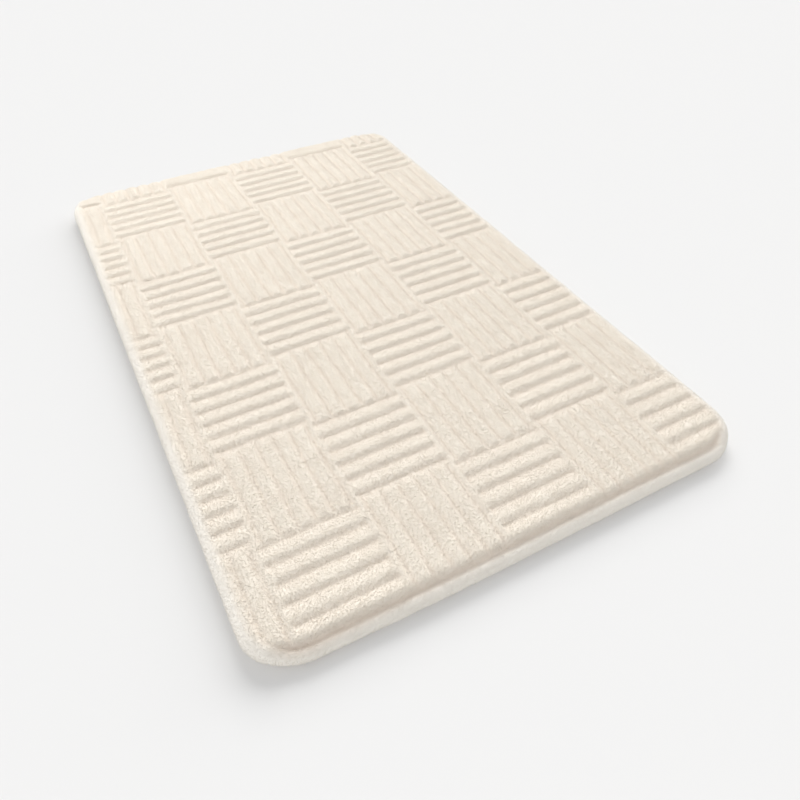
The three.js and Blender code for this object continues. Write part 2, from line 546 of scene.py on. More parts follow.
class NodeTree:
    """A short way to place nodes in a tree and join them."""

    def __init__(self, tree: bpy.types.NodeTree) -> None:
        """Wraps a tree."""
        self.tree = tree

    def feed(self, source: Any, target: Socket) -> None:
        """Joins an output to an input, or gives the input a plain value.

        Args:
            source: The output or the value.
            target: The input.
        """
        if isinstance(source, bpy.types.NodeSocket):
            self.tree.links.new(source, target)
        else:
            target.default_value = source

    def add(self, kind: str, inputs: Optional[Dict[Any, Any]] = None, **settings: Any) -> Any:
        """Adds a node.

        Args:
            kind: Its type's name.
            inputs: Values or sockets for its inputs, by name or number.
            settings: Its own properties.

        Returns:
            The node.
        """
        node = self.tree.nodes.new(kind)
        for key, value in settings.items():
            setattr(node, key, value)
        for key, value in (inputs or {}).items():
            self.feed(value, node.inputs[key])
        return node

    def math(self, operation: str, *values: Any) -> Socket:
        """The result of a Math node."""
        node = self.add("ShaderNodeMath", dict(enumerate(values)), operation=operation)
        return node.outputs[0]

    def xyz(self, **axes: Any) -> Socket:
        """A vector from its X, Y and Z."""
        return self.add("ShaderNodeCombineXYZ", axes).outputs[0]

    def noise(self, vector: Socket, scale: Any, detail: float, distortion: float = 0.0) -> Socket:
        """A Noise Texture's value.

        Args:
            vector: Where it is read.
            scale: How fine it is.
            detail: How many finer layers it has.
            distortion: How much it is swirled.

        Returns:
            The value's socket.
        """
        given = {"Vector": vector, "Scale": scale, "Detail": detail, "Distortion": distortion}
        return self.add("ShaderNodeTexNoise", given).outputs[0]

    def blend(self, share: Socket, first: Any, second: Any) -> Socket:
        """A blend of two colours.

        Args:
            share: 0 for the first to 1 for the second.
            first: The first colour.
            second: The second one.

        Returns:
            The colour's socket.
        """
        node = self.add("ShaderNodeMix", {"Factor": share}, data_type="RGBA")
        colours = [socket for socket in node.inputs if socket.type == "RGBA"]
        self.feed(first, colours[0])
        self.feed(second, colours[1])
        return node.outputs[2]


class Group(NodeTree):
    """A node group with named sockets."""

    def __init__(
        self, name: str, kind: str, inputs: Sequence[str], outputs: Sequence[str]
    ) -> None:
        """Makes the group and its sockets.

        Args:
            name: Its name.
            kind: The type of its tree.
            inputs: The names of its inputs.
            outputs: The names of its outputs.
        """
        super().__init__(bpy.data.node_groups.new(name, kind))
        for way, labels in (("INPUT", inputs), ("OUTPUT", outputs)):
            for label in labels:
                kind_of_socket = SOCKET_KINDS.get(label, "NodeSocketFloat")
                self.tree.interface.new_socket(label, in_out=way, socket_type=kind_of_socket)
        self.given = self.add("NodeGroupInput").outputs


class PieceTree(Group):
    """A Geometry Nodes tree that makes one piece of the mat."""

    def __init__(self, name: str, *sizes: str) -> None:
        """Makes the tree with an input for each size.

        Args:
            name: Its name.
            sizes: The names of its sizes, with Seed where something is random.
        """
        super().__init__(name, GEOMETRY_TREE, ["Geometry", *sizes, "Material"], ["Geometry"])

    def ball(self, segments: int, rings: int, size: Socket) -> Socket:
        """A ball stretched to a size.

        Args:
            segments: Its upright faces.
            rings: Its level ones.
            size: Its half width along X, Y and Z.

        Returns:
            Its geometry.
        """
        shape = {"Segments": segments, "Rings": rings, "Radius": 1.0}
        ball = self.add("GeometryNodeMeshUVSphere", shape).outputs["Mesh"]
        return self.add("GeometryNodeTransform", {"Geometry": ball, "Scale": size}).outputs[0]

    def chance(self, low: float, high: float) -> Socket:
        """A random number for each point."""
        limits = {2: low, 3: high, "Seed": self.given["Seed"]}
        return self.add("FunctionNodeRandomValue", limits, data_type="FLOAT").outputs[1]

    def set_out(self, points: Socket, piece: Socket, **turned: Socket) -> Socket:
        """One copy of a piece on each point, turned and scaled as given."""
        given = {"Points": points, "Instance": piece, **turned}
        return self.add("GeometryNodeInstanceOnPoints", given).outputs[0]

    def close(self, geometry: Socket) -> None:
        """Ends the tree with real, smooth geometry in its material.

        Args:
            geometry: What it has made.
        """
        real = self.add("GeometryNodeRealizeInstances", {0: geometry}).outputs[0]
        soft = self.add("GeometryNodeSetShadeSmooth", {0: real}).outputs[0]
        dress = {"Geometry": soft, "Material": self.given["Material"]}
        self.add("NodeGroupOutput", {0: self.add("GeometryNodeSetMaterial", dress).outputs[0]})

    def run(self, made: bpy.types.Object, values: Dict[str, Any]) -> bpy.types.Object:
        """Runs the tree on an object and keeps the result as a plain mesh.

        Args:
            made: The object.
            values: The tree's inputs, by name.

        Returns:
            The same object, with its new mesh and no modifier.
        """
        modifier = made.modifiers.new(self.tree.name, "NODES")
        modifier.node_group = self.tree
        for item in self.tree.interface.items_tree:
            if item.name in values and item.in_out == "INPUT":
                modifier[item.identifier] = values[item.name]
        graph = bpy.context.evaluated_depsgraph_get()
        mesh = bpy.data.meshes.new_from_object(made.evaluated_get(graph))
        made.modifiers.remove(modifier)
        old, made.data = made.data, mesh
        mesh.name = made.name
        bpy.data.meshes.remove(old)
        return made


# ---------------------------------------------------------------- finishes


class Effects:
    """The shader node groups that more than one material uses, each built once.

    Attributes:
        coarse_detail: How many finer layers a patch or a clump has.
        fine_detail: How many a speck or a fibre has.
        mask_from: The part of the mottling's noise that its mask is widened from.
        clump_swirl: How much the pile's clumps are swirled.
        fibre_share: How much its fibres add to their height.
        row_wander: How much a knit's rows stray.
        row_detail: How many finer layers that has.
    """

    coarse_detail: float = 3.0
    fine_detail: float = 2.0
    mask_from: Tuple[float, float] = (0.3, 0.7)
    clump_swirl: float = 0.6
    fibre_share: float = 0.4
    row_wander: float = 0.5
    row_detail: float = 1.0

    def __init__(self) -> None:
        """Builds the groups."""
        self._build_mottle()
        self._build_pile()
        self._build_knit()

    def _build_mottle(self) -> None:
        """Slow and fine changes of colour over a surface."""
        names = ["Vector", "Light", "Dark", "Patch Scale", "Speck Scale", "Speck Share"]
        made = self.mottle = Group("mottle", SHADER_TREE, names, ["Color", "Mask"])
        given = made.given
        patch = made.noise(given["Vector"], given["Patch Scale"], self.coarse_detail)
        speck = made.noise(given["Vector"], given["Speck Scale"], self.fine_detail)
        both = {"Factor": given["Speck Share"], "A": patch, "B": speck}
        mask = made.add("ShaderNodeMix", both, data_type="FLOAT").outputs[0]
        low, high = self.mask_from
        widened = {"Value": mask, "From Min": low, "From Max": high}
        wide = made.add("ShaderNodeMapRange", widened).outputs[0]
        colour = made.blend(wide, given["Light"], given["Dark"])
        made.add("NodeGroupOutput", {"Color": colour, "Mask": wide})

    def _build_pile(self) -> None:
        """The height of a short matted pile."""
        made = self.pile = Group(
            "pile", SHADER_TREE, ["Vector", "Clump Scale", "Fibre Scale"], ["Height"]
        )
        given = made.given
        clump = made.noise(
            given["Vector"], given["Clump Scale"], self.coarse_detail, self.clump_swirl
        )
        fibre = made.noise(given["Vector"], given["Fibre Scale"], self.fine_detail)
        height = made.math("ADD", clump, made.math("MULTIPLY", fibre, self.fibre_share))
        made.add("NodeGroupOutput", {"Height": height})

    def _build_knit(self) -> None:
        """The height of a fine knit or weave, from two crossed waves."""
        made = self.knit = Group(
            "knit", SHADER_TREE, ["Vector", "Wale Scale", "Course Scale"], ["Height"]
        )
        waves = []
        for scale, way in (("Wale Scale", "X"), ("Course Scale", "Y")):
            wave = {"Vector": made.given["Vector"], "Scale": made.given[scale]}
            wave.update({"Distortion": self.row_wander, "Detail": self.row_detail})
            waves.append(made.add("ShaderNodeTexWave", wave, bands_direction=way).outputs["Fac"])
        made.add("NodeGroupOutput", {"Height": made.math("MULTIPLY", *waves)})


def rgba(colour: Colour) -> Tuple[float, float, float, float]:
    """The colour with full alpha."""
    return (*colour, 1.0)


class Surface(NodeTree):
    """A material being built: its tree, its Principled BSDF and its Object coordinates."""

    def __init__(self, name: str) -> None:
        """Makes the material.

        Args:
            name: Its name.
        """
        self.material = bpy.data.materials.new(name)
        self.material.use_nodes = True
        super().__init__(self.material.node_tree)
        self.shader = self.tree.nodes["Principled BSDF"]
        self.coordinates = self.add("ShaderNodeTexCoord").outputs["Object"]

    def effect(self, group: Group, inputs: Dict[str, Any]) -> Any:
        """The outputs of a shared group, read at the Object coordinates."""
        given = {"Vector": self.coordinates, **inputs}
        return self.add("ShaderNodeGroup", given, node_tree=group.tree).outputs

    def mark(self, name: str) -> Socket:
        """One of the mesh's own attributes."""
        return self.add("ShaderNodeAttribute", attribute_name=name).outputs["Fac"]

    def bump(self, height: Socket, strength: float, distance: float) -> None:
        """Feeds a height to the shader's normal.

        Args:
            height: The height's socket.
            strength: The Bump node's strength.
            distance: Its distance, in metres.
        """
        given = {"Strength": strength, "Distance": distance, "Height": height}
        self.feed(self.add("ShaderNodeBump", given).outputs["Normal"], self.shader.inputs["Normal"])

    def set(self, **values: Any) -> None:
        """Sets or feeds the shader's own sockets, with _ for a space in their names."""
        for key, value in values.items():
            self.feed(value, self.shader.inputs[key.replace("_", " ")])


@dataclass(frozen=True)
class Finish:
    """What every finish of the mat has.

    Attributes:
        name: The material's name.
        light: Its colour.
        dark: Its darker patches.
        patch_scale: How fine its patches are.
        speck_scale: How fine its specks are.
        speck_share: How much of the mottling is specks.
        roughness: Its roughness.
        sheen: The strength of its sheen.
        specular: Its specular level.
        bump_strength: How strong its unevenness is.
        bump: How deep that is.
    """

    name: str
    light: Colour
    dark: Colour
    patch_scale: float = 20.0
    speck_scale: float = 400.0
    speck_share: float = 0.5
    roughness: float = 0.85
    sheen: float = 0.0
    specular: float = 0.25
    bump_strength: float = 0.6
    bump: float = 0.3 * MM

    def build(self, effects: Effects) -> bpy.types.Material:
        """Makes the material.

        Args:
            effects: The shared node groups.

        Returns:
            The material.
        """
        made = Surface(self.name)
        mottle = {
            "Light": rgba(self.light),
            "Dark": rgba(self.dark),
            "Patch Scale": self.patch_scale,
            "Speck Scale": self.speck_scale,
            "Speck Share": self.speck_share,
        }
        mottled = made.effect(effects.mottle, mottle)
        made.set(Base_Color=mottled["Color"], Specular_IOR_Level=self.specular)
        made.set(Roughness=self.roughness, Sheen_Weight=self.sheen)
        made.bump(self.detail(made, effects, mottled), self.bump_strength, self.bump)
        return made.material

    def detail(self, made: Surface, effects: Effects, mottled: Any) -> Socket:
        """Adds what only this finish has and gives the height of its surface."""
        return mottled["Mask"]


@dataclass(frozen=True)
class PlushFinish(Finish):
    """The face cloth's finish: a short matted pile with a soft sheen.

    Attributes:
        groove: Its colour down in the grooves, darker and pinker: painted shade and bounced light,
            partly the denser base of the pile.
        side: Its colour on the rolled side, painted paler and greyer: painted sheen and light.
        sheen_side_reach: Outline to where that colour has gone.
        sheen_side_full: Outline to where it is full.
        clump_scale: How fine the matted clumps are.
        fibre_scale: How fine the fibres in them are.
        sheen_roughness: How wide its sheen is.
        sheen_tint: Its sheen's colour.
    """

    # Painted shade and bounced light in the grooves, partly the pile's denser base.
    groove: Colour = (0.81, 0.722, 0.632)
    # Painted sheen and light: the rolled side is painted paler and greyer than the top.
    side: Colour = (0.84, 0.802, 0.74)
    sheen_side_reach: float = 13.0 * MM
    sheen_side_full: float = 3.9 * MM
    clump_scale: float = 240.0
    fibre_scale: float = 1300.0
    sheen_roughness: float = 0.45
    sheen_tint: Colour = (1.0, 0.99, 0.97)

    def detail(self, made: Surface, effects: Effects, mottled: Any) -> Socket:
        """Paints shade into the grooves and sheen onto the rolled side, and gives the height of the
        matted pile.

        Args:
            made: The material.
            effects: The shared node groups.
            mottled: The mottling's outputs.

        Returns:
            The height's socket.
        """
        # Painted shade: the grooves are painted darker and pinker by their depth mark.
        groove_shaded = made.blend(made.mark("depth"), mottled["Color"], rgba(self.groove))
        # Painted sheen: the colour turns paler and greyer towards the outline.
        given = {
            "Value": made.mark("inset"), "From Min": self.sheen_side_reach, "From Max": self.sheen_side_full
        }
        low = made.add("ShaderNodeMapRange", given, interpolation_type="SMOOTHSTEP").outputs[0]
        made.set(Base_Color=made.blend(low, groove_shaded, rgba(self.side)))
        made.set(Sheen_Roughness=self.sheen_roughness, Sheen_Tint=rgba(self.sheen_tint))
        matted = {"Clump Scale": self.clump_scale, "Fibre Scale": self.fibre_scale}
        return made.effect(effects.pile, matted)["Height"]


@dataclass(frozen=True)
class FoamFinish(Finish):
    """Open-cell memory foam.

    Attributes:
        cell_scale: How fine its cells are.
    """

    cell_scale: float = 900.0

    def detail(self, made: Surface, effects: Effects, mottled: Any) -> Socket:
        """The height of the open cells."""
        given = {"Vector": made.coordinates, "Scale": self.cell_scale}
        return made.add("ShaderNodeTexVoronoi", given).outputs["Distance"]


@dataclass(frozen=True)
class ClothFinish(Finish):
    """A knitted or woven cloth.

    Attributes:
        wale_scale: How close its upright rows are.
        course_scale: How close its cross rows are.
    """

    patch_scale: float = 30.0
    speck_scale: float = 900.0
    sheen: float = 0.1
    wale_scale: float = 900.0
    course_scale: float = 900.0

    def detail(self, made: Surface, effects: Effects, mottled: Any) -> Socket:
        """The height of the crossed rows."""
        rows = {"Wale Scale": self.wale_scale, "Course Scale": self.course_scale}
        return made.effect(effects.knit, rows)["Height"]


@dataclass(frozen=True)
class PolymerFinish(Finish):
    """A soft vinyl or a milky film.

    Attributes:
        worn: Its roughness where it is scuffed.
    """

    speck_scale: float = 500.0
    specular: float = 0.4
    bump_strength: float = 0.3
    bump: float = 0.1 * MM
    worn: float = 0.6

    def detail(self, made: Surface, effects: Effects, mottled: Any) -> Socket:
        """Scuffs the surface in patches and gives the height of those.

        Args:
            made: The material.
            effects: The shared node groups; not used here.
            mottled: The mottling's outputs.

        Returns:
            The height's socket.
        """
        given = {"Value": mottled["Mask"], "To Min": self.roughness, "To Max": self.worn}
        made.set(Roughness=made.add("ShaderNodeMapRange", given).outputs[0])
        return mottled["Mask"]


FINISHES: Dict[Slot, Finish] = {
    Slot.FACE: PlushFinish(
        "plush_face", (0.81, 0.757, 0.67), (0.745, 0.68, 0.592), 45.0, 420.0, 0.45,
        roughness=0.95, sheen=0.35, specular=0.15, bump_strength=0.7, bump=0.85 * MM,
    ),
    Slot.FOAM: FoamFinish(
        "memory_foam", (0.87, 0.76, 0.47), (0.76, 0.63, 0.35), speck_scale=700.0,
        roughness=0.9, specular=0.2, bump=0.8 * MM,
    ),
    Slot.FILM: PolymerFinish(
        "hot_melt_film", (0.88, 0.86, 0.8), (0.82, 0.79, 0.72), roughness=0.35
    ),
    Slot.SCRIM: ClothFinish(
        "scrim_felt", (0.9, 0.89, 0.86), (0.8, 0.79, 0.76),
        bump=0.15 * MM, wale_scale=260.0, course_scale=260.0,
    ),
    Slot.BACKING: ClothFinish(
        "backing_knit", (0.76, 0.71, 0.62), (0.66, 0.6, 0.51), wale_scale=330.0, course_scale=250.0
    ),
    Slot.DOTS: PolymerFinish(
        "grip_vinyl", (0.83, 0.79, 0.71), (0.76, 0.71, 0.62), roughness=0.4, worn=0.62
    ),
    Slot.THREAD: ClothFinish(
        "spun_thread", (0.85, 0.79, 0.69), (0.72, 0.65, 0.55), roughness=0.7, sheen=0.25
    ),
    Slot.LABEL: ClothFinish(
        "label_satin", (0.93, 0.92, 0.89), (0.86, 0.85, 0.81),
        roughness=0.45, sheen=0.3, bump=0.08 * MM, wale_scale=700.0, course_scale=420.0,
    ),
}


# ---------------------------------------------------------------- the mat's layers


@dataclass(frozen=True)
class Plan:
    """The mat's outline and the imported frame's heights.

    Attributes:
        half_x: Half its width.
        half_y: Half its length.
        top: Floor to rib crowns.
        corner: The outline's corner radius.
    """

    half_x: float
    half_y: float
    top: float
    corner: float = 46.0 * MM

    def layer(self, node: str) -> Tuple[float, float, float]:
        """A flat CAD node's inset from the outline, its bottom and its top."""
        low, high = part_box(node)
        return self.half_x - high.x, low.z, high.z

    def rings(self, step: float, along: float = 1.0) -> PlanRings:
        """Rings that follow the outline, with points about a step apart, wider along the mat."""
        return PlanRings(self.half_x, self.half_y, self.corner, step, along)

    def path(self, node: str, side: float) -> np.ndarray:
        """The line that a CAD node follows round the mat.

        Args:
            node: The node.
            side: Its outer edge to the line.

        Returns:
            The line's points, half way up the node.
        """
        inset, bottom, top = self.layer(node)
        ring = self.rings(PATH_STEP).at(inset + side)
        return np.column_stack([ring, np.full(len(ring), (bottom + top) / 2.0)])


@dataclass
class FaceCover:
    """The plush face cloth: ribbed top, rolled side and hem turned under.

    Attributes:
        plan: The mat's outline.
        weave: The embossed pattern.
        step: Between the mesh's points.
        along: How much wider they are set along the mat.
        cloth: Ground cloth and pile together.
        roll: Width of the rolled side.
        roll_turns: Rings round it.
        groove_start: Outline to where the grooves start to run out on the long sides.
        groove_end: Outline to where they have gone.
        side_round: How wide the long sides' rounding is.
        end_turn: Where a corner stops being a long side and where it is an end, from 0 to 1.
        lip_drop: How far the end lips lie below the groove floors.
        lip_reach: Crease to where that drop starts.
        crease_inset: Outline to the crease beside the end lips.
        crease_depth: Depth of that crease.
        crease_width: Its width.
        end_fade: How wide a rib's rounding is where it meets that crease.
        hem_inset: Outline to the hem's raw edge.
        hem_bottom: Floor to the hem's underside.
        hem_round: How far the hem's faces are drawn in where it turns.
        lining_gap: Between the cloth and what it wraps.
        lining_round: The rounding of its inside.
        lift: Floor to the underside of the rolled side.
        lump: Height of the pile's lumps.
        lumps: The width and share of each size of lump.
        seed: For the lumps.
        hidden: The depth mark of the faces that turn under, which gives them part of the grooves'
            painted shade.
    """

    plan: Plan
    weave: BasketWeave
    step: float = 1.9 * MM
    along: float = 1.5
    cloth: float = 2.4 * MM
    roll: float = 8.0 * MM
    roll_turns: int = 17
    groove_start: float = 15.0 * MM
    groove_end: float = 6.0 * MM
    side_round: float = 13.0 * MM
    end_turn: Tuple[float, float] = (0.35, 0.95)
    lip_drop: float = 1.5 * MM
    lip_reach: float = 2.0 * MM
    crease_inset: float = 11.2 * MM
    crease_depth: float = 1.5 * MM
    crease_width: float = 3.6 * MM
    end_fade: float = 5.0 * MM
    hem_inset: float = 24.0 * MM
    hem_bottom: float = 1.8 * MM
    hem_round: float = 1.0 * MM
    lining_gap: float = 0.6 * MM
    lining_round: float = 1.2 * MM
    lift: float = 0.5 * MM
    lump: float = 0.3 * MM
    lumps: Tuple[Tuple[float, float], ...] = ((22.0 * MM, 0.9), (9.0 * MM, 0.8), (4.4 * MM, 0.5))
    seed: int = 23
    hidden: float = 0.4

    def __post_init__(self) -> None:
        """Lays out the rings and marks how far each of their points faces an end of the mat."""
        self.rings = self.plan.rings(self.step, self.along)
        self.endward = smooth_step(*self.end_turn, self.rings.outward[:, 1] ** 2)
        self.body_top = self.plan.top - self.weave.rise

    def lumps_at(self, x: np.ndarray, y: np.ndarray) -> np.ndarray:
        """The unevenness of the pile, in metres, at some places."""
        noise = [SoftNoise(self.seed + k).at(x, y, size) for k, (size, _) in enumerate(self.lumps)]
        return self.lump * sum(share * each for (_, share), each in zip(self.lumps, noise))

    def ring_relief(self, points: np.ndarray, inset: float) -> np.ndarray:
        """The ribs' relief on one ring, with its ends rounded at the crease.

        Args:
            points: The ring's X and Y.
            inset: Its inset.

        Returns:
            0 to 1 for each point.
        """
        relief = self.weave.relief(points[:, 0], points[:, 1])
        past = np.clip((self.crease_inset + self.end_fade - inset) / self.end_fade, 0.0, 1.0)
        end = relief * math.sqrt(max(0.0, 1.0 - past**2))
        kept = smooth_step(self.groove_end, self.groove_start, inset)
        round_off = 1.0 - (1.0 - min(inset / self.side_round, 1.0)) ** 2
        side = (1.0 - kept * (1.0 - relief)) * round_off
        return self.endward * end + (1.0 - self.endward) * side

    def crease(self, inset: float) -> np.ndarray:
        """How far the crease and the lip outside it lie below the groove floors.

        Args:
            inset: The ring's inset.

        Returns:
            A depth for each of its points.
        """
        off = (inset - self.crease_inset) / self.crease_width
        outside = 1.0 - smooth_step(self.roll, self.crease_inset + self.lip_reach, inset)
        return (self.crease_depth * math.exp(-(off**2)) + self.lip_drop * outside) * self.endward

    def build(self) -> bpy.types.Object:
        """Makes the cover.

        Returns:
            Its closed mesh.
        """
        rings, shell = self.rings, ShellMesh(self.rings)
        xs, ys = np.meshgrid(rings.xs, rings.ys)
        relief = self.weave.relief(xs, ys)
        rise = relief * self.weave.rise + self.lumps_at(xs, ys)
        z = np.minimum(self.body_top + rise, self.plan.top + self.lump)
        edge = shell.grid(z, 1.0 - relief, True, piled=True)
        flat_steps = round((rings.corner - self.roll) / (self.step * self.along))
        for inset in np.linspace(rings.corner, self.roll, flat_steps + 1)[1:-1]:
            plane = rings.at(inset)
            relief = self.ring_relief(plane, inset)
            z = self.body_top + relief * self.weave.rise + self.lumps_at(*plane.T)
            points = np.column_stack([plane, z - self.crease(inset)])
            edge = shell.ring(edge, points, 1.0 - relief, piled=True)
        for turn in np.linspace(90.0, -90.0, self.roll_turns):
            points, relief = self.roll_ring(math.radians(turn))
            edge = shell.ring(edge, points, 1.0 - relief, piled=True)
        # The turned-under faces take part of the grooves' painted shade.
        for inset, level in self.underside():
            points = np.column_stack([rings.at(inset), np.full(len(edge), level)])
            edge = shell.ring(edge, points, np.full(len(edge), self.hidden))
        shell.faces.append(tuple(edge[::-1].tolist()))
        return shell.finish("face_cover_plush")

    def roll_ring(self, angle: float) -> Tuple[np.ndarray, np.ndarray]:
        """One ring of the rolled side.

        Args:
            angle: Its angle above level, in radians.

        Returns:
            Its points and their relief.
        """
        half_height = (self.body_top - self.lift) / 2.0
        inset = self.roll * (1.0 - math.cos(angle))
        level = self.lift + half_height * (1.0 + math.sin(angle))
        plane = self.rings.at(inset)
        relief = self.ring_relief(plane, inset) if angle > 0.0 else np.zeros(len(plane))
        out = relief * self.weave.rise + self.lumps_at(plane[:, 0] + level, plane[:, 1] - level)
        out = out - self.crease(inset) * max(math.sin(angle), 0.0)
        flat = np.minimum(out * math.cos(angle), self.roll - self.roll * math.cos(angle))
        plane = plane + self.rings.outward * flat[:, None]
        return np.column_stack([plane, level + out * math.sin(angle)]), relief

    def underside(self) -> List[Tuple[float, float]]:
        """The hem that turns under, its raw edge and the cover's inside.

        Returns:
            Insets and levels, in order.
        """
        hem_top, ceiling = self.hem_bottom + self.cloth, self.body_top - self.cloth
        inner, turn = self.cloth + self.lining_gap, self.hem_round
        return [
            (self.roll + 1.5 * turn, self.hem_bottom),
            (self.hem_inset - turn, self.hem_bottom),
            (self.hem_inset, self.hem_bottom + 0.4 * self.cloth),
            (self.hem_inset - 0.4 * turn, hem_top - 0.3 * turn),
            (self.hem_inset - 2.0 * turn, hem_top),
            (self.roll, hem_top),
            (inner + turn, hem_top + self.lining_round),
            (inner, (hem_top + ceiling) / 2.0),
            (inner + turn, ceiling - self.lining_round),
            (self.roll, ceiling),
        ]


@dataclass(frozen=True)
class FlatLayer:
    """A thin layer that follows the outline, such as the film, the scrim or the foam.

    Attributes:
        plan: The mat's outline.
        node: The CAD node that it stands for.
        name: The piece's name.
        wave: How uneven its faces are.
        step: Between its points.
        edge_round: How far its edge is rounded.
        seed: For the unevenness.
        bottom: Its lowest level, if not the CAD node's.
    """

    plan: Plan
    node: str
    name: str
    wave: float
    step: float = 9.0 * MM
    edge_round: float = 0.1 * MM
    seed: int = 41
    bottom: Optional[float] = None

    def flat_size(self) -> Tuple[float, float]:
        """The width and length that the layer is cut to."""
        inset = self.plan.layer(self.node)[0]
        return 2.0 * (self.plan.half_x - inset), 2.0 * (self.plan.half_y - inset)

    def flat_area(self) -> float:
        """Its area, with the rounded corners left out."""
        radius = self.plan.corner - self.plan.layer(self.node)[0]
        return math.prod(self.flat_size()) - (4.0 - math.pi) * radius**2

    def sway(self, x: np.ndarray, y: np.ndarray) -> np.ndarray:
        """The layer's unevenness, always inwards."""
        return self.wave * (0.5 + 0.5 * SoftNoise(self.seed).at(x, y, 3.0 * self.step))

    def build(self) -> bpy.types.Object:
        """Makes the layer.

        Returns:
            Its closed mesh.
        """
        inset, node_bottom, high = self.plan.layer(self.node)
        low = node_bottom if self.bottom is None else self.bottom
        rings = self.plan.rings(self.step)
        shell = ShellMesh(rings)
        xs, ys = np.meshgrid(rings.xs, rings.ys)
        mark, none = np.zeros_like(xs), np.zeros(len(rings.anchors))
        edge = shell.grid(high - self.sway(xs, ys), mark, True)
        half = min(self.edge_round, (high - low) / 2.0)
        quarter = np.radians(np.linspace(90.0, 0.0, 4))
        ins, drops = inset + half * (1.0 - np.cos(quarter)), half * (1.0 - np.sin(quarter))
        middle = (rings.corner + inset) / 2.0
        upper = [(middle, high), *zip(ins, high - drops)]
        lower = [*zip(ins[::-1], (low + drops)[::-1]), (middle, low)]
        for stations, way in ((upper, -1.0), (lower, 1.0)):
            for station, level in stations:
                plane = rings.at(station)
                z = np.clip(level + way * self.sway(*plane.T), low, high)
                edge = shell.ring(edge, np.column_stack([plane, z]), none)
        shell.bridge(edge, shell.grid(low + self.sway(xs, ys), mark, False))
        return shell.finish(self.name)


@dataclass
class Pile:
    """The tufts of the plush, planted on the face cover in bands along the mat.

    Attributes:
        cover: The face cover's mesh.
        half_y: Half the mat's length.
        bands: How many pieces the pile is split into.
        density: Tufts for each square metre.
        length: A tuft's length.
        width: Its radius at the root.
        lean: How far it leans, in radians.
        root: How deep its root sits in the cloth.
        sides: A tuft's flat sides.
        sizes: The smallest and the largest tuft, as shares of the length.
        lowest_facing: How far down a face may look and still carry tufts.
        seed: For the planting.
    """

    cover: bpy.types.Object
    half_y: float
    bands: int = 7
    density: float = 620000.0
    length: float = 1.9 * MM
    width: float = 0.55 * MM
    lean: float = 0.75
    root: float = 0.5 * MM
    sides: int = 3
    sizes: Tuple[float, float] = (0.6, 1.15)
    lowest_facing: float = -0.55
    seed: int = 5

    def tree(self) -> PieceTree:
        """The tree that plants one band of tufts.

        Returns:
            The tree.
        """
        tree = PieceTree(
            "plant_pile",
            "Density", "Length", "Width", "Lean", "Root", "Band Start", "Band End", "Seed",
        )
        given = tree.given
        place = tree.add("GeometryNodeInputPosition").outputs[0]
        facing = tree.add("GeometryNodeInputNormal").outputs[0]
        place_y = tree.add("ShaderNodeSeparateXYZ", {0: place}).outputs["Y"]
        facing_up = tree.add("ShaderNodeSeparateXYZ", {0: facing}).outputs["Z"]
        piled = {"Name": "pile"}
        chosen = [
            tree.math("GREATER_THAN", place_y, given["Band Start"]),
            tree.math("LESS_THAN", place_y, given["Band End"]),
            tree.math("GREATER_THAN", facing_up, self.lowest_facing),
            tree.add("GeometryNodeInputNamedAttribute", piled, data_type="FLOAT").outputs[0],
            given["Density"],
        ]
        density = chosen[0]
        for each in chosen[1:]:
            density = tree.math("MULTIPLY", density, each)
        planted = {"Mesh": given["Geometry"], "Density": density, "Seed": given["Seed"]}
        spread = tree.add(
            "GeometryNodeDistributePointsOnFaces", planted, distribute_method="RANDOM"
        ).outputs
        cone = {"Vertices": self.sides, "Radius Top": 0.0}
        cone.update({"Radius Bottom": given["Width"], "Depth": given["Length"]})
        tuft = tree.add("GeometryNodeMeshCone", cone).outputs["Mesh"]
        sink = tree.xyz(Z=tree.math("MULTIPLY", given["Root"], -1.0))
        sunk = tree.add("GeometryNodeTransform", {"Geometry": tuft, "Translation": sink})
        back, lean = tree.math("MULTIPLY", given["Lean"], -1.0), given["Lean"]
        limits = {
            "Min": tree.xyz(X=back, Y=back, Z=0.0),
            "Max": tree.xyz(X=lean, Y=lean, Z=math.tau),
            "Seed": given["Seed"],
        }
        tilt = tree.add("FunctionNodeRandomValue", limits, data_type="FLOAT_VECTOR").outputs[0]
        turn = tree.add("FunctionNodeEulerToRotation", {0: tilt}).outputs[0]
        aim = {0: spread["Rotation"], 1: turn}
        aimed = tree.add("FunctionNodeRotateRotation", aim, rotation_space="LOCAL").outputs[0]
        size = tree.chance(*self.sizes)
        tree.close(tree.set_out(spread["Points"], sunk.outputs[0], Rotation=aimed, Scale=size))
        return tree

    def build(self, material: bpy.types.Material) -> List[bpy.types.Object]:
        """Plants every band.

        Args:
            material: The tufts' material.

        Returns:
            One object for each band.
        """
        tree = self.tree()
        reach = self.half_y + self.length
        ends = np.linspace(-reach, reach, self.bands + 1).tolist()
        made = []
        for band in range(self.bands):
            values = {
                "Density": self.density,
                "Length": self.length,
                "Width": self.width,
                "Lean": self.lean,
                "Root": self.root,
                "Band Start": ends[band],
                "Band End": ends[band + 1],
                "Seed": self.seed + band,
                "Material": material,
            }
            piece = new_object(f"face_pile_{band + 1}", self.cover.data.copy())
            made.append(tree.run(piece, values))
        return made


